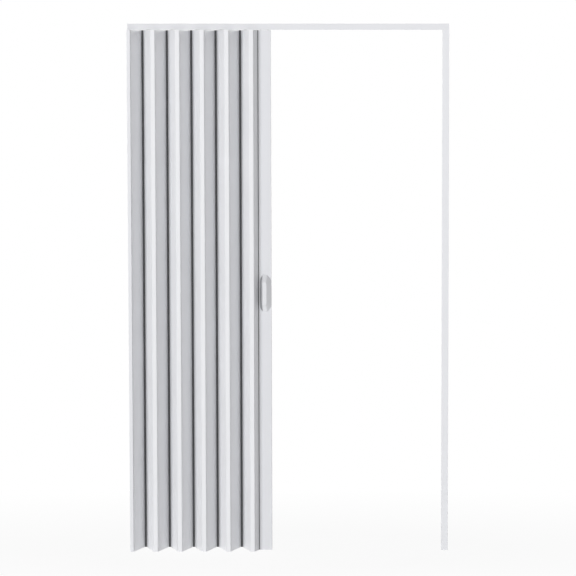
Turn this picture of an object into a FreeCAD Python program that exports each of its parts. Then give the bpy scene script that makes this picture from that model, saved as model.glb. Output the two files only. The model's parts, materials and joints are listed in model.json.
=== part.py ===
import FreeCAD, Part
import math
import os

# Accordion door, in millimetres: X along the track from the wall side to the strike side,
# Y away from the viewer, Z up. The origin is on the floor, at mid-width under the track's centre line.

# Overall
door_height = 2032.0
door_width = 1228.0
floor_gap = 1.0
track_gap = 1.6

# Folding panels: hollow extrusions with a hinge socket along both edges
panel_length = 100.0
panel_thickness = 5.6
panel_skin = 0.9
panel_web = 0.8
panel_cells = 5
fold_count = 5
rest_angle = 70.48
closed_angle = 13.2
stacked_angle = 80.0

# Hinge strips: a cover cap with two necks, each ending in a bead with many sides
bead_spacing = 13.4
bead_radius = 1.5
bead_sides = 16
bead_clearance = 0.06
neck_thickness = 1.0
neck_clearance = 0.25
cap_overhang = 0.1
cap_thickness = 1.2
cap_chamfer = 0.5
hinge_clearance = 0.3
seal_thickness = 1.9
seal_clearance = 0.3

# Head track: a C-section with a slot underneath
track_height = 22.8
track_depth = 25.0
track_wall = 1.8
track_slot = 9.0
track_hole_radius = 2.25
track_hole_inset = 60.0
track_hole_inner_spacing = 370.0

# Glides: flat heads with many sides that ride on the track's ledges
glide_head_radius = 8.0
glide_head_sides = 16
glide_head_height = 3.0
glide_blade_width = 5.0
glide_blade_thickness = 4.0
glide_ride_gap = 0.2
glide_collar_height = 1.0
glide_plug_length = 40.0
plug_clearance = 0.05

# Wall profile: a hollow front rib with the first hinge bead, and a flange on the wall
wall_hinge_offset = 12.45
wall_flange_thickness = 1.8
wall_rib_width = 8.0
wall_rib_depth = 13.4
wall_rib_skin = 1.2
wall_edge_radius = 1.5
wall_hole_radius = 2.25
wall_hole_depth = 30.0

# Strike jamb: a hollow profile with a steel strip let into its closing face
jamb_width = 25.2
jamb_depth = 25.0
jamb_wall = 1.8
jamb_edge_radius = 1.0
strip_width = 12.0
strip_thickness = 1.5
strip_clearance = 0.1
jamb_hole_radius = 2.25
jamb_access_radius = 4.5
side_hole_inset = 300.0

# Lead post: a hollow post with a hinge pocket, end caps and a magnet strip
post_width = 48.7
post_depth = 25.0
post_wall = 1.6
post_cells = 3
post_edge_radius = 1.5
post_lip_offset = 1.3
pocket_clearance = 0.6
pocket_run = 5.0
magnet_width = 10.0
magnet_thickness = 3.0
magnet_clearance = 0.1
post_cap_thickness = 2.0
post_plug_length = 18.0

# Pull handles: a tapered lip on each side of the post, with room for the fingers under it and a cup
# that is let into the post, clamped by two screws
handle_width = 47.9
handle_height = 144.0
handle_round = 54.0
handle_level = 1000.0
handle_depth = 22.0
handle_rim = 2.5
handle_shell = 2.2
handle_base = 2.0
land_width = 15.5
land_offset = -2.0
land_height = 89.0
cup_depth = 8.0
cup_wall = 1.2
cup_clearance = 0.1
screw_spacing = 64.0
screw_radius = 2.0
screw_clearance = 0.2
thread_clearance = 0.05
screw_head_radius = 3.6
screw_head_height = 2.6
screw_seat = 6.0
screw_bite = 14.0
screw_block = 12.0

# Values that follow from the sizes above
left_end = -door_width / 2
track_bottom = door_height - track_height
leaf_bottom = floor_gap
leaf_top = track_bottom - track_gap
half_panel_cells = panel_cells // 2
knuckle_radius = panel_thickness / 2
socket_radius = bead_radius + bead_clearance
cap_inner = knuckle_radius + hinge_clearance
cap_outer = cap_inner + cap_thickness
cap_half_width = (bead_spacing + neck_thickness) / 2 + cap_overhang
run = panel_length * math.cos(math.radians(rest_angle))
rise = panel_length * math.sin(math.radians(rest_angle))
crest_line = -rise / 2
valley_line = rise / 2


def point(x, y, z=0.0):
    return FreeCAD.Vector(x, y, z)


def polygon(corners):
    """A flat face in the XY plane through the corners given as (x, y)."""
    loop = [point(x, y) for x, y in corners]
    return Part.Face(Part.makePolygon(loop + loop[:1]))


def rectangle(x0, y0, x1, y1):
    return polygon([(x0, y0), (x1, y0), (x1, y1), (x0, y1)])


def disc(x, y, radius):
    return Part.Face(Part.Wire(Part.makeCircle(radius, point(x, y))))


def many_sided(x, y, radius, sides):
    """A regular polygon whose corners lie on a circle."""
    corners = []
    for side in range(sides):
        angle = 2 * math.pi * side / sides
        corners.append((x + radius * math.cos(angle), y + radius * math.sin(angle)))
    return polygon(corners)


def bead(x, y):
    return many_sided(x, y, bead_radius, bead_sides)


def rounded_rectangle(x0, y0, x1, y1, radius):
    """A rectangle with round corners, as four arcs with a line after each."""
    quarter = math.pi / 2
    centres = [
        (x1 - radius, y1 - radius),
        (x0 + radius, y1 - radius),
        (x0 + radius, y0 + radius),
        (x1 - radius, y0 + radius),
    ]
    arcs = []
    for index, (x, y) in enumerate(centres):
        turn = [(index + step / 2) * quarter for step in range(3)]
        arcs.append([point(x + radius * math.cos(a), y + radius * math.sin(a)) for a in turn])
    edges = []
    for index, arc in enumerate(arcs):
        edges.append(Part.Arc(*arc).toShape())
        edges.append(Part.makeLine(arc[-1], arcs[(index + 1) % 4][0]))
    return Part.Face(Part.Wire(edges))


def joined(faces):
    """One face out of several that overlap."""
    return faces[0].fuse(faces[1:]).removeSplitter().Faces[0]


def upright(face, bottom, top):
    """An extrusion that stands along Z between two heights."""
    solid = face.extrude(point(0, 0, top - bottom))
    solid.translate(point(0, 0, bottom))
    return solid


def one_solid(shape):
    return shape.removeSplitter().Solids[0]


def neck_slot(side):
    """The opening that a hinge neck needs at a panel's first edge, from closed to stacked."""
    half = neck_thickness / 2 + neck_clearance
    reach = 2 * panel_thickness
    first = math.radians(90 + closed_angle)
    last = math.radians(90 + stacked_angle)
    middle = (first + last) / 2

    def polar(radius, angle):
        return radius * math.cos(angle), side * radius * math.sin(angle)

    def offset(radius, angle, sideways):
        x, y = polar(radius, angle)
        dx, dy = polar(half, sideways)
        return x + dx, y + dy

    quarter = math.pi / 2
    return polygon([
        offset(0, first, first - quarter),
        offset(reach, first, first - quarter),
        polar(2 * reach, middle),
        offset(reach, last, last + quarter),
        offset(0, last, last + quarter),
    ])


def panel_face(length, cells, side):
    """A panel's section from its first hinge axis, at the origin, to its second, along X."""
    body = joined([
        rectangle(0, -knuckle_radius, length, knuckle_radius),
        disc(0, 0, knuckle_radius),
        disc(length, 0, knuckle_radius),
    ])
    slot = neck_slot(side)
    far_slot = slot.copy()
    far_slot.rotate(point(length / 2, 0), point(0, 0, 1), 180)
    openings = [slot, far_slot, disc(0, 0, socket_radius), disc(length, 0, socket_radius)]
    width = cell_width(length, cells)
    inside = knuckle_radius - panel_skin
    for index in range(cells):
        start = cell_start() + index * (width + panel_web)
        openings.append(rectangle(start, -inside, start + width, inside))
    return body.cut(openings).Faces[0]


def cell_start():
    return knuckle_radius + panel_skin


def cell_width(length, cells):
    return (length - 2 * cell_start() - (cells - 1) * panel_web) / cells


def strip_face():
    """A hinge strip's section: beads on the X axis, with the cap on the +Y side."""
    half = bead_spacing / 2
    cap = polygon([
        (-cap_half_width, cap_inner),
        (cap_half_width, cap_inner),
        (cap_half_width, cap_outer - cap_chamfer),
        (cap_half_width - cap_chamfer, cap_outer),
        (cap_chamfer - cap_half_width, cap_outer),
        (-cap_half_width, cap_outer - cap_chamfer),
    ])
    parts = [cap]
    for x in (-half, half):
        neck = neck_thickness / 2
        parts.append(rectangle(x - neck, 0, x + neck, (cap_inner + cap_outer) / 2))
        parts.append(bead(x, 0))
    return joined(parts)


def seal_face():
    """A light seal's section: it lies on the cap's inner face, between the panels' round edges."""
    half = bead_spacing / 2 - knuckle_radius - seal_clearance
    return rectangle(-half, cap_inner - seal_thickness, half, cap_inner)


def blade_face(clearance=0.0):
    """The section of a glide's stem, or of the hole that it is pushed into."""
    width = glide_blade_width / 2 + clearance
    thickness = glide_blade_thickness / 2 + clearance
    return rectangle(-width, -thickness, width, thickness)


def glide(stem_bottom):
    """A glide on the Z axis, from the foot of its stem to the top of its head."""
    seat = track_bottom + track_wall + glide_ride_gap
    plan = many_sided(0, 0, glide_head_radius, glide_head_sides)
    head = upright(plan, seat, seat + glide_head_height)
    return one_solid(head.fuse(upright(blade_face(), stem_bottom, seat)))


def panel_glide():
    """A glide with the collar and plug that hold it in a panel's middle cell."""
    width = cell_width(panel_length, panel_cells) - 2 * plug_clearance
    thickness = panel_thickness - 2 * panel_skin - 2 * plug_clearance
    plug = upright(
        rectangle(-width / 2, -thickness / 2, width / 2, thickness / 2),
        leaf_top - glide_plug_length,
        leaf_top,
    )
    collar = upright(
        rectangle(-width / 2, -knuckle_radius, width / 2, knuckle_radius),
        leaf_top,
        leaf_top + glide_collar_height,
    )
    return one_solid(glide(leaf_top).fuse([plug, collar]))


def placed(shape, x, y, angle):
    """A shape turned about the Z axis and moved to a place in plan."""
    shape.rotate(point(0, 0), point(0, 0, 1), angle)
    shape.translate(point(x, y))
    return shape


# The fixed profiles
def top_track():
    half = track_depth / 2
    ledge = track_slot / 2
    inside = half - track_wall
    section = rectangle(-half, track_bottom, half, door_height)
    section = section.cut([
        rectangle(-inside, track_bottom + track_wall, inside, door_height - track_wall),
        rectangle(-ledge, track_bottom - track_wall, ledge, track_bottom + 2 * track_wall),
    ]).Faces[0]
    section.rotate(point(0, 0), point(1, 1, 1), 120)
    channel = section.extrude(point(door_width, 0))
    channel.translate(point(left_end, 0))
    holes = []
    for x in track_hole_places():
        foot = point(x, 0, door_height - 2 * track_wall)
        holes.append(Part.makeCylinder(track_hole_radius, 3 * track_wall, foot))
    return one_solid(channel.cut(holes))


def track_hole_places():
    outer = door_width / 2 - track_hole_inset
    inner = track_hole_inner_spacing / 2
    return [-outer, -inner, inner, outer]


def side_hole_levels():
    """Heights of the screw holes in the wall profile and the strike jamb."""
    return [side_hole_inset, track_bottom - side_hole_inset]


def wall_profile():
    front = crest_line - cap_outer
    hinge = wall_hinge_offset
    neck = neck_thickness / 2
    rib_back = front + wall_rib_depth
    outer = joined([
        rounded_rectangle(0, front, wall_rib_width, rib_back, wall_edge_radius),
        rectangle(0, front + wall_rib_depth / 2, wall_flange_thickness, track_depth / 2),
        rectangle(wall_rib_width / 2, front, hinge + neck + cap_overhang, front + cap_thickness),
        rectangle(hinge - neck, front + cap_thickness / 2, hinge + neck, crest_line),
        bead(hinge, crest_line),
    ])
    hollow = rectangle(
        wall_flange_thickness,
        front + wall_rib_skin,
        wall_rib_width - wall_rib_skin,
        rib_back - wall_rib_skin,
    )
    profile = upright(outer.cut(hollow).Faces[0], 0, track_bottom)
    profile.translate(point(left_end, 0))
    holes = []
    for z in side_hole_levels():
        foot = point(left_end - wall_flange_thickness, rib_back + wall_hole_depth, z)
        holes.append(Part.makeCylinder(wall_hole_radius, 3 * wall_flange_thickness, foot, point(1, 0, 0)))
    return one_solid(profile.cut(holes))


def strike_jamb():
    half = jamb_depth / 2
    left = -left_end - jamb_width
    right = -left_end
    groove_depth = strip_thickness + strip_clearance
    groove_half = strip_width / 2 + strip_clearance
    outer = rounded_rectangle(left, -half, right, half, jamb_edge_radius)
    section = outer.cut([
        rectangle(left + groove_depth + jamb_wall, jamb_wall - half, right - jamb_wall, half - jamb_wall),
        rectangle(left - groove_depth, -groove_half, left + groove_depth, groove_half),
    ]).Faces[0]
    profile = upright(section, 0, track_bottom)
    cuts = []
    for z in side_hole_levels():
        middle = point(left + jamb_width / 2, 0, z)
        cuts.append(Part.makeCylinder(jamb_hole_radius, jamb_width, middle, point(1, 0, 0)))
        cuts.append(access_hole(left, z))
    return one_solid(profile.cut(cuts))


def access_hole(left, z):
    """Room for a screwdriver, through the strip and the jamb's closing face."""
    start = point(left - jamb_width / 2, 0, z)
    return Part.makeCylinder(jamb_access_radius, jamb_width, start, point(1, 0, 0))


def strike_strip():
    left = -left_end - jamb_width
    groove_floor = left + strip_thickness + strip_clearance
    half = strip_width / 2
    section = rectangle(groove_floor - strip_thickness, -half, groove_floor, half)
    strip = upright(section, 0, track_bottom)
    return one_solid(strip.cut([access_hole(left, z) for z in side_hole_levels()]))


# The lead post and what it carries, drawn from its hinge axis at the origin
def post_right():
    return post_lip_offset + post_width


def pocket_floor():
    return knuckle_radius + pocket_clearance


def post_outline():
    """The post's outer section with its hinge pocket, without the hinge neck."""
    half = post_depth / 2
    lip_back = post_wall - half
    outside = post_lip_offset - pocket_floor()
    outer = rounded_rectangle(post_lip_offset, -half, post_right(), half, post_edge_radius)
    pocket = polygon([
        (outside, lip_back),
        (post_lip_offset, lip_back),
        (pocket_floor(), lip_back + pocket_run),
        (pocket_floor(), cap_inner),
        (outside, cap_inner),
    ])
    return outer.cut(pocket).Faces[0]


def post_cell_spans():
    """The X span of each hollow cell in the post."""
    first = max(pocket_floor(), post_lip_offset) + post_wall
    last = post_right() - magnet_thickness - magnet_clearance - post_wall
    width = (last - first - (post_cells - 1) * post_wall) / post_cells
    starts = [first + index * (width + post_wall) for index in range(post_cells)]
    return [(start, start + width) for start in starts]


def lead_post():
    neck = neck_thickness / 2
    right = post_right()
    inside = post_depth / 2 - post_wall
    groove_half = magnet_width / 2 + magnet_clearance
    groove_depth = magnet_thickness + magnet_clearance
    body = joined([
        post_outline(),
        rectangle(-neck - cap_overhang, cap_inner, 2 * post_lip_offset, cap_outer),
        rectangle(-neck, 0, neck, (cap_inner + cap_outer) / 2),
        bead(0, 0),
    ])
    cuts = [rectangle(x0, -inside, x1, inside) for x0, x1 in post_cell_spans()]
    cuts.append(rectangle(right - groove_depth, -groove_half, right + groove_depth, groove_half))
    section = body.cut(cuts).Faces[0]
    post = upright(section, leaf_bottom + post_cap_thickness, leaf_top - post_cap_thickness)
    bore = screw_radius + screw_clearance
    holes = []
    for z in screw_levels():
        start = point(handle_centre(), -post_depth, z)
        holes.append(Part.makeCylinder(bore, 2 * post_depth, start, point(0, 1, 0)))
    for side in (-1, 1):
        window = upright(cup_face(cup_wall + cup_clearance), -2 * post_wall, handle_base)
        holes.append(on_post(window, side))
    return one_solid(post.cut(holes))


def post_cap(plate_bottom, plug_bottom, stem_holes):
    """An end cap: a plate with the post's outline, and a plug in each outer cell."""
    inside = post_depth / 2 - post_wall - plug_clearance
    cap = upright(post_outline(), plate_bottom, plate_bottom + post_cap_thickness)
    spans = post_cell_spans()
    plugs = []
    for x0, x1 in (spans[0], spans[-1]):
        section = rectangle(x0 + plug_clearance, -inside, x1 - plug_clearance, inside)
        plugs.append(upright(section, plug_bottom, plug_bottom + post_plug_length))
    cap = one_solid(cap.fuse(plugs))
    return one_solid(cap.cut(stem_holes)) if stem_holes else cap


def post_top_cap():
    plate_bottom = leaf_top - post_cap_thickness
    holes = []
    for x in post_glide_places():
        hole = upright(blade_face(plug_clearance), stem_foot(), leaf_top + post_cap_thickness)
        hole.translate(point(x, 0))
        holes.append(hole)
    return post_cap(plate_bottom, plate_bottom - post_plug_length, holes)


def post_bottom_cap():
    return post_cap(leaf_bottom, leaf_bottom + post_cap_thickness, [])


def stem_foot():
    """The depth to which a post glide's stem is pushed into the top cap."""
    return leaf_top - post_plug_length


def post_glide_places():
    spans = post_cell_spans()
    return [sum(span) / 2 for span in (spans[0], spans[-1])]


def post_glides():
    pair = []
    for x in post_glide_places():
        pin = glide(stem_foot())
        pin.translate(point(x, 0))
        pair.append(pin)
    return Part.makeCompound(pair)


def post_magnet():
    half = magnet_width / 2
    right = post_right()
    section = rectangle(right - magnet_thickness, -half, right, half)
    return upright(section, leaf_bottom + post_cap_thickness, leaf_top - post_cap_thickness)


def handle_centre():
    return post_lip_offset + post_width / 2


def screw_levels():
    return [handle_level - screw_spacing / 2, handle_level + screw_spacing / 2]


def land_round(side):
    """The radius that a side's round ends have left at the land."""
    return handle_round - handle_width / 2 + land_width / 2 + side * land_offset


def end_round(side):
    """The centres of a side's two round ends: their X, and how far up and down they lie."""
    level = handle_height / 2 - math.sqrt(handle_round ** 2 - land_round(side) ** 2)
    return side * (handle_width / 2 - handle_round), level


def tapered_side(side):
    """One side of the handle, with its foot on Z = 0: a straight rim and flank between two round ends."""
    top_round = land_round(side)
    taper_height = handle_depth - handle_rim
    middle, level = end_round(side)
    pieces = []
    for y in (-level, level):
        pieces.append(Part.makeCylinder(handle_round, handle_rim, point(middle, y)))
        pieces.append(Part.makeCone(handle_round, top_round, taper_height, point(middle, y, handle_rim)))
    flank = polygon([
        (middle - handle_round, 0),
        (middle + handle_round, 0),
        (middle + handle_round, handle_rim),
        (middle + top_round, handle_depth),
        (middle - top_round, handle_depth),
        (middle - handle_round, handle_rim),
    ])
    pieces.append(swept_along_y(flank, level))
    return one_solid(pieces[0].fuse(pieces[1:]))


def swept_along_y(face, half_length):
    """A section drawn in X and Z, given as a face in X and Y, swept to both sides along Y."""
    face.rotate(point(0, 0), point(1, 0, 0), 90)
    solid = face.extrude(point(0, 2 * half_length))
    solid.translate(point(0, -half_length))
    return solid


def handle_form():
    """The pull's outer form: both tapered sides, cut by the slopes at its top and bottom."""
    half_height = handle_height / 2
    half_land = land_height / 2
    slopes = swept_along_y(polygon([
        (-half_height, 0),
        (half_height, 0),
        (half_height, handle_rim),
        (half_land, handle_depth),
        (-half_land, handle_depth),
        (-half_height, handle_rim),
    ]), handle_width)
    slopes.rotate(point(0, 0), point(0, 0, 1), 90)
    return tapered_side(-1).common(tapered_side(1)).common(slopes)


def cup_face(margin):
    """The finger cup's plan, grown by a margin: over the post's first cell, with the pull's round ends."""
    middle, level = end_round(-1)
    radius = handle_round - 2 * cup_wall + margin
    edge = cup_wall + cup_clearance - margin
    cell_left, cell_right = post_cell_spans()[0]
    left = cell_left - handle_centre() + edge
    right = cell_right - handle_centre() - edge

    def end(x, side):
        return point(x, side * (level + math.sqrt(radius ** 2 - (x - middle) ** 2)))

    centre = (left + right) / 2
    return Part.Face(Part.Wire([
        Part.makeLine(end(left, -1), end(left, 1)),
        Part.Arc(end(left, 1), end(centre, 1), end(right, 1)).toShape(),
        Part.makeLine(end(right, 1), end(right, -1)),
        Part.Arc(end(right, -1), end(centre, -1), end(left, -1)).toShape(),
    ]))


def pull():
    """A pull on its back: the lip, the finger room that opens towards the folds, and the cup."""
    lip = land_offset - land_width / 2
    land_right = land_offset + land_width / 2
    ceiling = handle_depth - handle_shell
    foot = handle_width / 2 - 2 * handle_shell
    mouth = rectangle(-handle_width, handle_base, lip, 2 * handle_depth)
    room = polygon([
        (2 * lip, handle_base),
        (foot, handle_base),
        (land_right - handle_shell, ceiling),
        (2 * lip, ceiling),
    ])
    body = handle_form().cut([
        swept_along_y(mouth, handle_height),
        swept_along_y(room, (screw_spacing - screw_block) / 2),
    ])
    cup = upright(cup_face(cup_wall), -cup_depth - cup_wall, handle_base)
    return body.fuse(cup).cut(upright(cup_face(0), -cup_depth, handle_depth))


def on_post(shape, side):
    """A pull, or the window for its cup, set on the post's front (-1) or back (1)."""
    shape.rotate(point(0, 0), point(1, 0, 0), -90 * side)
    shape.translate(point(handle_centre(), side * post_depth / 2, handle_level))
    return shape


def front_handle():
    pilot_radius = screw_radius + thread_clearance
    pilots = []
    for y in (-screw_spacing / 2, screw_spacing / 2):
        pilots.append(Part.makeCylinder(pilot_radius, screw_bite + screw_clearance, point(0, y)))
    return on_post(one_solid(pull().cut(pilots)), -1)


def rear_handle():
    bore = screw_radius + screw_clearance
    counterbore = screw_head_radius + screw_clearance
    cuts = []
    for y in (-screw_spacing / 2, screw_spacing / 2):
        cuts.append(Part.makeCylinder(bore, handle_depth, point(0, y)))
        cuts.append(Part.makeCylinder(counterbore, handle_depth, point(0, y, screw_seat)))
    return on_post(one_solid(pull().cut(cuts)), 1)


def handle_screws():
    screws = []
    shank = screw_seat + post_depth + screw_bite
    for z in screw_levels():
        seat = point(handle_centre(), post_depth / 2 + screw_seat, z)
        head = Part.makeCylinder(screw_head_radius, screw_head_height, seat, point(0, 1, 0))
        stem = Part.makeCylinder(screw_radius, shank, seat, point(0, -1, 0))
        screws.append(one_solid(head.fuse(stem)))
    return Part.makeCompound(screws)


# The whole door in its half-open pose
def leaf_span(face):
    return upright(face, leaf_bottom, leaf_top)


def build():
    nodes = {
        "top_track": top_track(),
        "wall_profile": wall_profile(),
        "strike_jamb": strike_jamb(),
        "strike_strip": strike_strip(),
    }
    hinge_x = left_end + wall_hinge_offset
    for number in range(1, 2 * fold_count + 1):
        heading_back = number % 2 == 1
        side = -1 if heading_back else 1
        start_line, end_line = (crest_line, valley_line) if heading_back else (valley_line, crest_line)
        turn = rest_angle if heading_back else -rest_angle
        panel = leaf_span(panel_face(panel_length, panel_cells, side))
        nodes[f"panel_{number:02d}"] = placed(panel, hinge_x, start_line, turn)
        if not heading_back:
            hanger = placed(panel_glide(), panel_length / 2, 0, 0)
            nodes[f"glide_{number:02d}"] = placed(hanger, hinge_x, start_line, turn)
        hinge_x += run
        facing = 0 if heading_back else 180
        middle = hinge_x + bead_spacing / 2
        nodes[f"hinge_strip_{number:02d}"] = placed(leaf_span(strip_face()), middle, end_line, facing)
        nodes[f"light_seal_{number:02d}"] = placed(leaf_span(seal_face()), middle, end_line, facing)
        hinge_x += bead_spacing
    half = leaf_span(panel_face(panel_length / 2, half_panel_cells, -1))
    nodes["half_panel"] = placed(half, hinge_x, crest_line, rest_angle)
    post_hinge = hinge_x + run / 2
    post_pieces = {
        "lead_post": lead_post(),
        "post_top_cap": post_top_cap(),
        "post_bottom_cap": post_bottom_cap(),
        "post_glides": post_glides(),
        "post_magnet": post_magnet(),
        "front_handle": front_handle(),
        "rear_handle": rear_handle(),
        "handle_screws": handle_screws(),
    }
    for name, shape in post_pieces.items():
        nodes[name] = placed(shape, post_hinge, 0, 0)
    return nodes


door = build()
os.makedirs("parts", exist_ok=True)
for name, shape in door.items():
    shape.exportStep(f"parts/{name}.step")
print(len(door), "pieces")
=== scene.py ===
# %% [markdown]
# # An accordion door
#
# The door hangs from a head track and folds in a zigzag towards the left wall. Its solids come from a CAD
# model and never move or change here. This lesson gives every one of them its finish, rebuilds the few
# pieces that need softer edges or finer detail, and lights them in a small white studio.
#
# We start by loading the solids. They arrive in metres: X runs along the track, Y away from us, Z up.

# %% Load the solids
import json
import math

import bmesh
import bpy
from mathutils import Matrix, Vector


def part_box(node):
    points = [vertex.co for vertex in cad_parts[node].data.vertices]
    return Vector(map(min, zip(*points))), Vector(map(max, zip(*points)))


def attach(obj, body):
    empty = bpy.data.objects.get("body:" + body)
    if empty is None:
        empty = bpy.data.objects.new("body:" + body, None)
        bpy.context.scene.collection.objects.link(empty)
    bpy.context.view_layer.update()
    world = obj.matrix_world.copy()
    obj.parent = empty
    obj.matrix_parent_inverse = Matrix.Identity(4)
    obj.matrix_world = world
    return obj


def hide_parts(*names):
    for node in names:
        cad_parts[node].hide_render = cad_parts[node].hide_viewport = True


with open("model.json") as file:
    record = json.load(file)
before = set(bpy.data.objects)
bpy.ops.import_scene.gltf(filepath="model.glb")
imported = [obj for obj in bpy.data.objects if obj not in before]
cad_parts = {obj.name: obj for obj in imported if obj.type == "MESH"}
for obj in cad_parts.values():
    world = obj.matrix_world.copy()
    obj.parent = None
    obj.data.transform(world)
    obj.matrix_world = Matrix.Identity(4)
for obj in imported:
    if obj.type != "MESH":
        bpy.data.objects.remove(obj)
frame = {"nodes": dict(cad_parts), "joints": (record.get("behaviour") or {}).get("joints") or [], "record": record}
scene = bpy.context.scene
scene.view_settings.view_transform = "Standard"
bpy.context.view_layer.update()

# %% [markdown]
# ## The camera
#
# A product picture of something tall is taken from far away with a long lens, so that the uprights stay
# upright. This one stands about ten metres off, a little below the level of the door's top, and looks
# straight along Y and slightly down. The door sits left of the lens axis, so the film is shifted sideways.
# Turning the camera instead would make the track slope.

# %% Camera
IMAGE_PIXELS = 576
FOCAL_PIXELS = 2596
AXIS_PIXELS = 354.2
FILM_MILLIMETRES = 36.0
LOOK_DOWN = 0.0878
CAMERA_PLACE = (0.2514, -9.957, 1.896)
VIEW_DEPTH = 200.0

lens = bpy.data.cameras.new("lens")
lens.sensor_width = FILM_MILLIMETRES
lens.lens = FOCAL_PIXELS / IMAGE_PIXELS * FILM_MILLIMETRES
lens.shift_x = 0.5 - AXIS_PIXELS / IMAGE_PIXELS
lens.clip_end = VIEW_DEPTH
camera = bpy.data.objects.new("camera", lens)
camera.location = CAMERA_PLACE
camera.rotation_euler = (math.pi / 2 - LOOK_DOWN, 0, 0)
scene.collection.objects.link(camera)
scene.camera = camera
print("lens", round(lens.lens, 1), "mm, shift", round(lens.shift_x, 3))

# %% [markdown]
# ## Shader maths that reads like arithmetic
#
# A material is a graph of nodes. Written out node by node it is long and hard to read, so a small class
# wraps an output socket. A sum, a difference or a product with one of them adds a Math node, and every
# other node comes from one method: its type, its settings, and what goes into its sockets. A trial in an
# empty group shows what a short expression turns into.

# %% The wrapper


class Signal:
    """An output socket that can be used in sums."""

    def __init__(self, tree, socket=None):
        self.tree = tree
        self.socket = socket

    def node(self, kind, settings=None, inputs=None, output=0):
        """Adds a node. Plain values are set on its sockets, signals are linked. Gives one of its outputs."""
        made = self.tree.nodes.new(kind)
        for name, value in (settings or {}).items():
            setattr(made, name, value)
        for name, value in (inputs or {}).items():
            if isinstance(value, Signal):
                self.tree.links.new(value.socket, made.inputs[name])
            else:
                made.inputs[name].default_value = value
        return Signal(self.tree, made.outputs[output]) if len(made.outputs) else None

    def maths(self, operation, first, second):
        return self.node("ShaderNodeMath", {"operation": operation}, {0: first, 1: second})

    def __add__(self, other):
        return self.maths("ADD", self, other)

    def __radd__(self, other):
        return self.maths("ADD", other, self)

    def __sub__(self, other):
        return self.maths("SUBTRACT", self, other)

    def __rsub__(self, other):
        return self.maths("SUBTRACT", other, self)

    def __mul__(self, other):
        return self.maths("MULTIPLY", self, other)

    def __rmul__(self, other):
        return self.maths("MULTIPLY", other, self)


trial = bpy.data.node_groups.new("trial", "ShaderNodeTree")
mask = Signal(trial).node("ShaderNodeValue")
halved = 0.5 * (1 - mask)
operations = [made.operation for made in halved.tree.nodes if made.type == "MATH"]
print("0.5 * (1 - mask) became", operations)
bpy.data.node_groups.remove(trial)

# %% [markdown]
# ## White studio
#
# The background is pure white, but white light from everywhere would wash the folds out. Light Path tells
# the two apart: rays from the camera, and rays mirrored by gloss or bent by glass, see a white world, while
# the rays that light the object see a dimmer one.

# %% World
SKY_LEVEL = 0.33
WHITE = (1, 1, 1, 1)


def start_graph(owner):
    """Empties the graph of a material or a world and gives the first handle on it."""
    owner.use_nodes = True
    owner.node_tree.nodes.clear()
    return Signal(owner.node_tree)


def seen_directly(graph):
    """One for rays from the camera, and for rays that a shiny or clear surface sends on."""
    kinds = ("Is Camera Ray", "Is Glossy Ray", "Is Transmission Ray")
    camera_ray, glossy_ray, clear_ray = [graph.node("ShaderNodeLightPath", output=kind) for kind in kinds]
    return camera_ray + glossy_ray + clear_ray


world = bpy.data.worlds.new("white_studio")
scene.world = world
graph = start_graph(world)
level = SKY_LEVEL + (1 - SKY_LEVEL) * seen_directly(graph)
backdrop = graph.node("ShaderNodeBackground", inputs={"Color": WHITE, "Strength": level})
graph.node("ShaderNodeOutputWorld", inputs={"Surface": backdrop})
print("sky lights the door at", SKY_LEVEL)

# %% [markdown]
# ## Floor
#
# The floor is one large plate. It is a matt pale paint mixed with white light. For the camera there is much of
# that light, so the door's shadow stays on the floor, but faint, and away from the door the white takes over
# altogether and the floor runs into the background unseen. For the door there is less of it, as from a floor that
# is lit well.

# %% Floor plate
HALF_WIDTH = 90.0
BELOW_DOOR = 0.0005

mesh = bpy.data.meshes.new("floor")
shape = bmesh.new()
bmesh.ops.create_grid(shape, x_segments=1, y_segments=1, size=HALF_WIDTH)
bmesh.ops.translate(shape, verts=shape.verts, vec=(0, 0, -BELOW_DOOR))
shape.to_mesh(mesh)
shape.free()
floor = bpy.data.objects.new("floor", mesh)
scene.collection.objects.link(floor)
print("floor", [round(side, 1) for side in floor.dimensions])

# %% Floor paint
PALE_PAINT = (0.9, 0.9, 0.9, 1)
NEAR_WHITE = 0.92
FLOOR_LEVEL = 0.45
REACH = (1.6, 0.7, 1.0)
FADE_STARTS = 0.5
FADE_ENDS = 2.0

floor_paint = bpy.data.materials.new("floor_paint")
graph = start_graph(floor_paint)
paint = graph.node("ShaderNodeBsdfDiffuse", inputs={"Color": PALE_PAINT})
glow = graph.node("ShaderNodeEmission", inputs={"Color": WHITE, "Strength": 1.0})
place = graph.node("ShaderNodeTexCoord", output="Object")
spread = graph.node("ShaderNodeVectorMath", {"operation": "DIVIDE"}, {0: place, 1: REACH})
away = graph.node("ShaderNodeVectorMath", {"operation": "LENGTH"}, {0: spread}, output="Value")
fade = graph.node("ShaderNodeMapRange", inputs={
    "Value": away,
    "From Min": FADE_STARTS,
    "From Max": FADE_ENDS,
    "To Min": NEAR_WHITE,
    "To Max": 1.0,
})
seen = seen_directly(graph)
share = fade * seen + FLOOR_LEVEL * (1 - seen)
mixed = graph.node("ShaderNodeMixShader", inputs={0: share, 1: paint, 2: glow})
graph.node("ShaderNodeOutputMaterial", inputs={"Surface": mixed})
mesh.materials.append(floor_paint)
print("floor shadow fades out", [round(FADE_ENDS * side, 1) for side in REACH[:2]], "m from the middle")

# %% [markdown]
# ## Lamps
#
# The panels that face left are brighter than those that face right, and every crest throws a soft shadow
# to its right. So the main light comes from the front left, and low. Both lights are suns, because a sun is
# equally strong from one end of the door to the other, and a disc as wide as these makes shadows as soft
# as a large lamp does. The second one is behind the door, for those who walk round it. The sky and the
# floor fill the shadows. Neither sun is so strong that a white panel facing it turns pure white.

# %% Lamps
DISC_WIDTH = math.radians(18)


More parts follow.
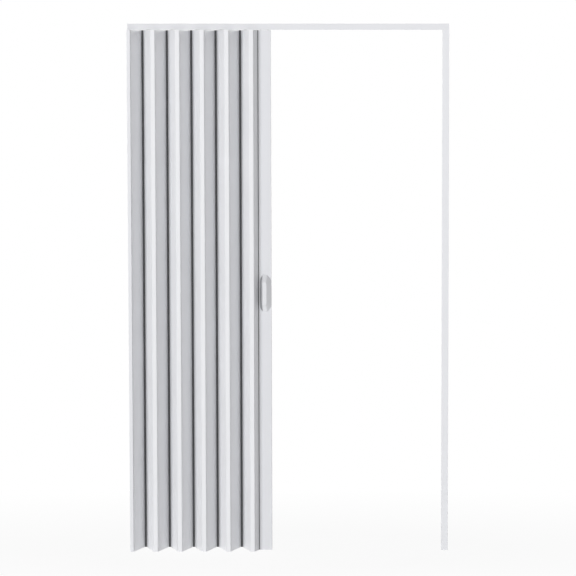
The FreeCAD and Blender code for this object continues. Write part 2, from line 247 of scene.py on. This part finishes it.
def soft_sun(name, comes_from, strength):
    light = bpy.data.lights.new(name, "SUN")
    light.angle = DISC_WIDTH
    light.energy = strength
    lamp = bpy.data.objects.new(name, light)
    lamp.rotation_euler = Vector(comes_from).to_track_quat("Z", "Y").to_euler()
    scene.collection.objects.link(lamp)
    print(name, "of strength", strength)


soft_sun("main_sun", comes_from=(-0.51, -0.86, 0.05), strength=2.13)
soft_sun("rear_sun", comes_from=(0.50, 0.86, 0.10), strength=1.6)

# %% [markdown]
# ## Satin vinyl
#
# Panels, strips, track and posts are extruded vinyl. Close up, an extrusion shows faint lines along its
# length where the die has marked it, a fine tooth on the surface, and slow changes of shade and gloss. A
# painted picture could hold them, but noise needs no file and differs from panel to panel. It is stretched
# along the extrusion for the die lines, fine for the tooth and slow for the shade. The noise reads Object
# coordinates, so it stays on a piece when the piece moves.

# %% Noise and colours
ALONG_Z = (900.0, 900.0, 1.5)
ALONG_X = (1.5, 900.0, 900.0)


def noise(place, scale, detail, stretch=None):
    """A grey noise from about 0.3 to 0.7, stretched if its three scales differ."""
    if stretch:
        place = place.node("ShaderNodeMapping", inputs={"Vector": place, "Scale": stretch})
    return place.node("ShaderNodeTexNoise", inputs={"Vector": place, "Scale": scale, "Detail": detail})


def opaque(colour, factor=1.0):
    """A colour made lighter or darker by a factor, with the alpha that a colour socket asks for."""
    return (*[factor * part for part in colour], 1)


def blend_colours(factor, first, second):
    """A colour between two others. Colours need a Mix node, because a Math node would turn them grey."""
    return factor.node("ShaderNodeMix", {"data_type": "RGBA"}, {0: factor, 6: first, 7: second}, output=2)


print("die lines lie about", round(1000 / max(ALONG_Z), 1), "mm apart")

# %% Vinyl recipe
PANEL_WHITE = (0.872, 0.876, 0.895)
STRIP_WHITE = (0.885, 0.891, 0.914)
POST_WHITE = (0.78, 0.787, 0.817)
WALL_WHITE = (0.825, 0.832, 0.86)
TRACK_WHITE = (0.805, 0.811, 0.838)
# The dark of the shade that is painted into the groove beside the post
GROOVE_SHADE_DARK = (0.09, 0.092, 0.098)
PANEL_ROUGHNESS = 0.46
STRIP_ROUGHNESS = 0.40
PROFILE_ROUGHNESS = 0.44
TOOTH_SCALE = 1400.0
CLOUD_SCALE = 5.0
DARKEST = 0.975
DIE_SHARE = 0.6
ROUGHER_BY_DIE = 0.06
ROUGHER_BY_CLOUD = 0.1
VINYL_RELIEF = {"Strength": 0.5, "Distance": 0.0001}


def finish_with(graph, settings):
    """The surface shader and the output that ends a material."""
    surface = graph.node("ShaderNodeBsdfPrincipled", inputs=settings)
    graph.node("ShaderNodeOutputMaterial", inputs={"Surface": surface})


def vinyl(name, colour, roughness, stretch, shade_mask=None):
    """White vinyl. Where shade_mask is one, painted shade turns it dark."""
    material = bpy.data.materials.new(name)
    graph = start_graph(material)
    place = graph.node("ShaderNodeTexCoord", output="Object")
    die_lines = noise(place, scale=1.0, detail=3.0, stretch=stretch)
    tooth = noise(place, scale=TOOTH_SCALE, detail=2.0)
    cloud = noise(place, scale=CLOUD_SCALE, detail=3.0)
    tone = blend_colours(cloud, opaque(colour, DARKEST), opaque(colour, 2 - DARKEST))
    # Painted shade: where the mask is one, the colour turns dark
    if shade_mask:
        tone = blend_colours(shade_mask(place), tone, opaque(GROOVE_SHADE_DARK))
    height = DIE_SHARE * die_lines + (1 - DIE_SHARE) * tooth
    smoothest = roughness - (ROUGHER_BY_CLOUD + ROUGHER_BY_DIE) / 2
    finish_with(graph, {
        "Base Color": tone,
        "Roughness": smoothest + ROUGHER_BY_CLOUD * cloud + ROUGHER_BY_DIE * die_lines,
        "Normal": graph.node("ShaderNodeBump", inputs={**VINYL_RELIEF, "Height": height}),
    })
    return material


panel_vinyl = vinyl("panel_vinyl", PANEL_WHITE, PANEL_ROUGHNESS, ALONG_Z)
strip_vinyl = vinyl("strip_vinyl", STRIP_WHITE, STRIP_ROUGHNESS, ALONG_Z)
post_vinyl = vinyl("post_vinyl", POST_WHITE, PROFILE_ROUGHNESS, ALONG_Z)
wall_vinyl = vinyl("wall_vinyl", WALL_WHITE, PROFILE_ROUGHNESS, ALONG_Z)
track_vinyl = vinyl("track_vinyl", TRACK_WHITE, PROFILE_ROUGHNESS, ALONG_X)
print("a vinyl has", len(panel_vinyl.node_tree.nodes), "nodes")

# %% [markdown]
# The last fold, between the half panel and the post, has no hinge strip, and the groove there lies in shade. That
# shade is painted onto the half panel as a thin dark band. It lies flush, so no mesh is needed: a mask finds it by
# Object coordinates, close to the post's hinge and on the side towards the post.

# %% The half panel and its painted shade
# How wide the band of painted shade is
SHADE_BAND_WIDTH = 0.010

hinge_places = {joint["name"]: Vector(joint["pos_m"]) for joint in frame["joints"]}
post_hinge = hinge_places["lead_post_hinge"]
panel_line = (hinge_places["half_panel_hinge"] - post_hinge).normalized()
towards_post = Vector((-panel_line.y, panel_line.x, 0))


def distance_along(place, direction, start):
    """How far a place lies from start, in one direction."""
    dot = place.node("ShaderNodeVectorMath", {"operation": "DOT_PRODUCT"}, {0: place, 1: direction}, "Value")
    return dot - start.dot(direction)


# Where shade is painted: close to the post's hinge, on the side towards the post
def painted_shade_by_post(place):
    along = distance_along(place, panel_line, post_hinge)
    across = distance_along(place, towards_post, post_hinge)
    return along.maths("LESS_THAN", along, SHADE_BAND_WIDTH) * across.maths("GREATER_THAN", across, 0.0)


# The half panel's vinyl, with painted shade along the groove by the post
half_panel_shaded_vinyl = vinyl("half_panel_shaded_vinyl", PANEL_WHITE, PANEL_ROUGHNESS, ALONG_Z, painted_shade_by_post)
# The side of the half panel that takes the painted shade
print("the soft edge looks towards", [round(part, 2) for part in towards_post])

# %% [markdown]
# ## The other finishes
#
# The pulls are moulded, so they have no die lines: their surface is smoother and shinier, with a slight
# waviness that shows only in reflections. Their finger hollows are grained, and grey with painted shade. The
# light seals are soft dark vinyl. The glides are nylon, milky and a little yellow. The magnet is a dark rubber
# full of fine powder. One recipe serves them all: two colours that a noise blends, and a tooth that is twelve
# times finer.

# %% Moulded, soft and milky plastics
PULL_COLOURS = (0.785, 0.792, 0.82), (0.82, 0.827, 0.855)
# Painted shade for the finger hollows, in greys darker than the pull
HOLLOW_SHADE_COLOURS = (0.60, 0.605, 0.625), (0.70, 0.705, 0.725)
SEAL_COLOURS = (0.10, 0.102, 0.108), (0.13, 0.132, 0.138)
NYLON_COLOURS = (0.76, 0.75, 0.70), (0.82, 0.81, 0.77)
MAGNET_COLOURS = (0.06, 0.05, 0.045), (0.12, 0.10, 0.09)
FINER = 12
WAVE_HEIGHT = 0.0002


def moulded(name, colours, scale, roughness, spread, bump):
    """A finish whose colour follows one noise and whose gloss a finer one. Both make its relief."""
    material = bpy.data.materials.new(name)
    graph = start_graph(material)
    place = graph.node("ShaderNodeTexCoord", output="Object")
    cloud = noise(place, scale=scale, detail=4.0)
    tooth = noise(place, scale=FINER * scale, detail=2.0)
    relief = {"Strength": bump, "Distance": WAVE_HEIGHT, "Height": 0.5 * cloud + 0.5 * tooth}
    finish_with(graph, {
        "Base Color": blend_colours(cloud, *[opaque(colour) for colour in colours]),
        "Roughness": (roughness - spread / 2) + spread * tooth,
        "Normal": graph.node("ShaderNodeBump", inputs=relief),
    })
    return material


pull_plastic = moulded("pull_plastic", PULL_COLOURS, scale=30, roughness=0.3, spread=0.12, bump=0.12)
# The finger hollows: real grain in the bump, painted shade in the grey colour
grain_and_painted_shade = moulded("grain_and_painted_shade", HOLLOW_SHADE_COLOURS, scale=400, roughness=0.6, spread=0.2, bump=0.6)
seal_vinyl = moulded("seal_vinyl", SEAL_COLOURS, scale=60, roughness=0.6, spread=0.2, bump=0.5)
nylon = moulded("nylon", NYLON_COLOURS, scale=90, roughness=0.4, spread=0.15, bump=0.2)
magnet_rubber = moulded("magnet_rubber", MAGNET_COLOURS, scale=220, roughness=0.7, spread=0.2, bump=0.6)
print("a moulded finish has", len(nylon.node_tree.nodes), "nodes")

# %% [markdown]
# The strike strip and the screws are zinc plated steel. The plating isn't quite even, so it is paler in some
# patches than in others, and the steel under it keeps the marks of the rolls, which run along the strip. On
# the small screws the marks have no direction.

# %% Zinc plated steel
DARK_ZINC = (0.56, 0.57, 0.58, 1)
PALE_ZINC = (0.70, 0.70, 0.69, 1)
ROLLED_ALONG_Z = (900.0, 900.0, 6.0)
NO_DIRECTION = (400.0, 400.0, 400.0)
PATCH_SCALE = 160.0
STEEL_RELIEF = {"Strength": 0.3, "Distance": 0.0001}
STEEL_ROUGHNESS = 0.22
ROUGHER_BY_ROLLING = 0.25


def plated_steel(name, stretch):
    material = bpy.data.materials.new(name)
    graph = start_graph(material)
    place = graph.node("ShaderNodeTexCoord", output="Object")
    rolling = noise(place, scale=1.0, detail=4.0, stretch=stretch)
    patches = noise(place, scale=PATCH_SCALE, detail=2.0)
    finish_with(graph, {
        "Base Color": blend_colours(patches, DARK_ZINC, PALE_ZINC),
        "Roughness": STEEL_ROUGHNESS + ROUGHER_BY_ROLLING * rolling,
        "Metallic": 1.0,
        "Normal": graph.node("ShaderNodeBump", inputs={**STEEL_RELIEF, "Height": rolling}),
    })
    return material


strip_steel = plated_steel("strip_steel", ROLLED_ALONG_Z)
screw_steel = plated_steel("screw_steel", NO_DIRECTION)
print("a steel has", len(strip_steel.node_tree.nodes), "nodes")

# %% [markdown]
# ## Dressing the solids
#
# Each solid has one finish, chosen by its name. Replacing what is in its material slots leaves its mesh
# alone, so the shapes stay those of the CAD model.

# %% Dress every solid


def finish_for(node):
    if node.startswith("panel_"):
        return panel_vinyl
    if node.startswith("hinge_strip"):
        return strip_vinyl
    if node.startswith("light_seal"):
        return seal_vinyl
    if "glide" in node:
        return nylon
    special = {
        "half_panel": half_panel_shaded_vinyl,
        "top_track": track_vinyl,
        "wall_profile": wall_vinyl,
        "strike_jamb": wall_vinyl,
        "strike_strip": strip_steel,
        "handle_screws": screw_steel,
        "post_magnet": magnet_rubber,
        "front_handle": pull_plastic,
        "rear_handle": pull_plastic,
    }
    return special.get(node, post_vinyl)


for name, solid in frame["nodes"].items():
    solid.data.materials.clear()
    solid.data.materials.append(finish_for(name))
print("dressed", len(frame["nodes"]), "solids")

# %% [markdown]
# ## Pulls with soft edges
#
# A moulded pull has no sharp edge where a hand goes. It could be modelled afresh, but the solid already has
# the right form, with its lip, finger room and cup. So its mesh is copied, its loose triangles are merged,
# flat ones dissolve into whole faces, and the edges that are still sharp get a bevel. Three places are
# left out: what is hidden in the post, the screw holes, and the thin ends of the lip, where a bevel would
# fold over itself.

# %% Measure the pulls
screws_low, screws_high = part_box("handle_screws")
head_radius = (screws_high.x - screws_low.x) / 2
screw_x = (screws_low.x + screws_high.x) / 2
screw_levels = (screws_low.z + head_radius, screws_high.z - head_radius)
pull_level = sum(screw_levels) / 2
post_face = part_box("lead_post")[1].y
print("screws at", [round(z, 3) for z in screw_levels], "m, with the pulls' middle at", round(pull_level, 3))

# %% Choose the edges
SHARP = math.radians(25)
OUT_OF_POST = 0.0005
SCREW_ROOM = 0.0045
SAME_LEVEL = 0.0001

# A thin end of the lip: close to its edge, clear of the post and far from the pull's middle
LIP_BAND = 0.002
LIP_RISE = 0.003
LIP_END = 0.036


def lip_edge(shape):
    """Where the lip ends on the finger side, at the pull's outermost face."""
    outermost = max(abs(vert.co.y) for vert in shape.verts)
    return min(vert.co.x for vert in shape.verts if abs(vert.co.y) > outermost - SAME_LEVEL)


def takes_a_bevel(edge, lip):
    if edge.calc_face_angle(0) < SHARP:
        return False
    if any(abs(vert.co.y) < post_face + OUT_OF_POST for vert in edge.verts):
        return False
    middle = (edge.verts[0].co + edge.verts[1].co) / 2
    beside_lip = middle.x < lip + LIP_BAND and abs(middle.y) > post_face + LIP_RISE
    if beside_lip and abs(middle.z - pull_level) > LIP_END:
        return False
    return all(math.hypot(middle.x - screw_x, middle.z - z) > SCREW_ROOM for z in screw_levels)


print("edges of more than", round(math.degrees(SHARP)), "degrees may be softened")

# %% Soften them
EDGE_ROUND = 0.0008
EDGE_SEGMENTS = 3
NEARLY_FLAT = math.radians(0.5)
SAME_PLACE = 0.00001


def softened(node):
    shape = bmesh.new()
    shape.from_mesh(frame["nodes"][node].data)
    bmesh.ops.remove_doubles(shape, verts=shape.verts, dist=SAME_PLACE)
    bmesh.ops.dissolve_limit(shape, angle_limit=NEARLY_FLAT, verts=shape.verts, edges=shape.edges)
    lip = lip_edge(shape)
    edges = [edge for edge in shape.edges if takes_a_bevel(edge, lip)]
    print(node, "has", len(edges), "edges to soften, of", len(shape.edges))
    bmesh.ops.bevel(
        shape, geom=edges, affect="EDGES", offset=EDGE_ROUND, offset_type="OFFSET",
        segments=EDGE_SEGMENTS, profile=0.5, material=-1, clamp_overlap=False,
    )
    return shape


pull_shapes = {side: softened(f"{side}_handle") for side in ("front", "rear")}

# %% [markdown]
# The finger hollow is grey: everything on the finger side of the lip, and the walls of the room under it.
# The imported record states that room as an opening with a box, so its levels needn't be written again. A
# face belongs to it if it lies within the box's height and depth and doesn't look to the right, as the
# outer flank does.

# %% Paint shade into the hollows
MARGIN = 0.001
LOOKS_RIGHT = 0.3

openings = {opening["name"]: opening["box_m"] for opening in frame["record"]["physics"]["openings"]}


def between(value, low, high):
    return low - MARGIN < value < high + MARGIN


# Faces that get painted shade: the finger side of the lip and the walls of the room under it
def gets_painted_shade(face, lip, room):
    middle = face.calc_center_median()
    if middle.x < lip:
        return True
    low, high = room
    in_depth = between(middle.y, low[1], high[1])
    return in_depth and between(middle.z, low[2], high[2]) and face.normal.x < LOOKS_RIGHT


for side, shape in pull_shapes.items():
    lip = lip_edge(shape)
    room = openings[f"{side}_finger_room"]
    for face in shape.faces:
        # Material 1 paints shade into these faces
        face.material_index = int(gets_painted_shade(face, lip, room))
    # The grey faces are those with painted shade
    grey = sum(face.material_index for face in shape.faces)
    print(side, "pull:", len(shape.faces), "faces,", grey, "of them grey")

# %% [markdown]
# A bmesh becomes a piece once it is an object in the scene. Smooth shading alone would bend the light over
# the large flat faces, so sharp edges are marked, and a Weighted Normal modifier lets the large faces decide.
# Each pull then takes the place of its solid and rides on the post.

# %% Hang the pulls
SMOOTH_BELOW = math.radians(40)


def finished_piece(name, shape, materials):
    """An object out of a bmesh. It is smooth except over its sharp edges, and its large faces look flat."""
    mesh = bpy.data.meshes.new(name)
    shape.to_mesh(mesh)
    shape.free()
    mesh.shade_smooth()
    mesh.set_sharp_from_angle(angle=SMOOTH_BELOW)
    for material in materials:
        mesh.materials.append(material)
    piece = bpy.data.objects.new(name, mesh)
    scene.collection.objects.link(piece)
    flat = piece.modifiers.new("flat_faces", "WEIGHTED_NORMAL")
    flat.keep_sharp = True
    print(name, [round(extent * 1000, 1) for extent in piece.dimensions], "mm")
    return piece


for side, shape in pull_shapes.items():
    pull = finished_piece(f"{side}_pull", shape, [pull_plastic, grain_and_painted_shade])
    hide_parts(f"{side}_handle")
    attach(pull, "lead_post")

# %% [markdown]
# ## Screws
#
# Two screws clamp the pulls through the post, and their heads show at the bottom of the rear pull's holes. A
# pan head with a cross is a disc with a cross pushed into it. A boolean could cut the cross, but it leaves
# thin faces around the cut. So the disc starts as a square grid, whose rows of faces give the cross for
# nothing, and pulling every ring of the grid onto a circle makes it round. The screw is built with the top
# of its head at the origin, pointing down.

# %% The head and its cross
HEAD_CELLS = 10
HEAD_TOP = 0.85
DOME = 0.0004
CROSS_ARM = 0.6
CROSS_WIDTH = 0.2
CROSS_DEPTH = 0.0014
CROSS_TAPER = 0.7
NOT_ZERO = 0.001


def verts_of(made):
    """The vertices among what an operator gives back."""
    return [item for item in made["geom"] if isinstance(item, bmesh.types.BMVert)]


def press_cross(shape):
    """Doubles a cross of the grid's faces. Gives the vertices that can be pushed down into the head."""
    arms = []
    for face in shape.faces:
        x, y, _ = [abs(part) for part in face.calc_center_median()]
        if min(x, y) < CROSS_WIDTH and max(x, y) < CROSS_ARM:
            arms.append(face)
    made = bmesh.ops.extrude_face_region(shape, geom=arms)
    bmesh.ops.delete(shape, geom=arms, context="FACES")
    return verts_of(made)


screw = bmesh.new()
bmesh.ops.create_grid(screw, x_segments=HEAD_CELLS, y_segments=HEAD_CELLS, size=1.0)
bottom = press_cross(screw)
rim = [edge for edge in screw.edges if edge.is_boundary]
for vert in screw.verts:
    round_off = max(abs(vert.co.x), abs(vert.co.y)) / max(vert.co.length, NOT_ZERO)
    radius = HEAD_TOP * head_radius * round_off
    dome = DOME * (vert.co.length * round_off) ** 2
    vert.co = (vert.co.x * radius, vert.co.y * radius, -dome)
bmesh.ops.translate(screw, verts=bottom, vec=(0, 0, -CROSS_DEPTH))
bmesh.ops.scale(screw, verts=bottom, vec=(CROSS_TAPER, CROSS_TAPER, 1))
print("head with", len(screw.faces), "faces and", len(rim), "edges round its rim")

# %% [markdown]
# From the rim of the head, ring after ring is extruded: over the head's sloping shoulder and its side, in to
# the shank, down to the thinner core that carries the thread, and to the point.

# %% The shank
SEAT_OVER_POST = 0.006
SHOULDER = 0.4
SHANK_RADIUS = 0.002
CORE_RADIUS = 0.0016
THREAD_LENGTH = 0.016
THREAD_PITCH = 0.0014
RUN_IN = THREAD_PITCH / 2
POINT_LENGTH = 1.5 * THREAD_PITCH
POINT_TAPER = 0.1

head_height = screws_high.y - post_face - SEAT_OVER_POST
screw_length = screws_high.y - screws_low.y
core_length = THREAD_LENGTH - RUN_IN - POINT_LENGTH


def next_ring(shape, ring, factor, drop):
    """Extrudes a ring of edges, scales it about the Z axis and lowers it. Gives the new ring."""
    made = bmesh.ops.extrude_edge_only(shape, edges=ring)
    verts = verts_of(made)
    bmesh.ops.scale(shape, vec=(factor, factor, 1), verts=verts)
    bmesh.ops.translate(shape, vec=(0, 0, -drop), verts=verts)
    fresh = set(verts)
    edges = [item for item in made["geom"] if isinstance(item, bmesh.types.BMEdge)]
    return [edge for edge in edges if fresh.issuperset(edge.verts)]


# How much wider and how much lower each ring is than the one before
steps = [
    (1 / HEAD_TOP, SHOULDER * head_height - DOME),
    (1, (1 - SHOULDER) * head_height),
    (SHANK_RADIUS / head_radius, 0),
    (1, screw_length - head_height - THREAD_LENGTH),
    (CORE_RADIUS / SHANK_RADIUS, RUN_IN),
    (1, core_length),
    (POINT_TAPER, POINT_LENGTH),
]
ring = rim
for factor, drop in steps:
    ring = next_ring(screw, ring, factor, drop)
bmesh.ops.contextual_create(screw, geom=ring)
print("screw of", round(screw_length * 1000, 1), "mm with a head of", round(head_height * 1000, 1), "mm")

# %% [markdown]
# The thread is a small triangle with its base sunk into the core, spun round it and moved along at each step.
# A Screw modifier would do the same, but a spin keeps the thread in the mesh that we are building. It isn't
# a closed ring, so the spin doesn't merge its ends.

# %% The thread
TURN_STEPS = 20
SUNK = 0.0001

half_base = THREAD_PITCH / 3
start = THREAD_LENGTH - screw_length - THREAD_PITCH
turns = int(core_length / THREAD_PITCH)
corners = [(CORE_RADIUS - SUNK, half_base), (SHANK_RADIUS, 0), (CORE_RADIUS - SUNK, -half_base)]
triangle = screw.faces.new([screw.verts.new((radius, 0, start + z)) for radius, z in corners])
bmesh.ops.spin(
    screw, geom=[triangle], cent=(0, 0, 0), axis=(0, 0, 1), dvec=(0, 0, -THREAD_PITCH / TURN_STEPS),
    angle=2 * math.pi * turns, steps=TURN_STEPS * turns, use_merge=False,
)
bmesh.ops.recalc_face_normals(screw, faces=screw.faces)
print(turns, "turns of thread,", len(screw.faces), "faces in all")

# %% [markdown]
# The screw is turned to point to the front, set at the lower hole, and copied to the upper one. The two are
# one piece, as they are one node in the CAD model.

# %% Set both screws in place
bmesh.ops.rotate(screw, verts=screw.verts, matrix=Matrix.Rotation(-math.pi / 2, 3, "X"))
bmesh.ops.translate(screw, verts=screw.verts, vec=(screw_x, screws_high.y, screw_levels[0]))
upper = bmesh.ops.duplicate(screw, geom=screw.faces)
bmesh.ops.translate(screw, verts=verts_of(upper), vec=(0, 0, screw_levels[1] - screw_levels[0]))
screws = finished_piece("clamp_screws", screw, [screw_steel])
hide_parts("handle_screws")
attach(screws, "lead_post")
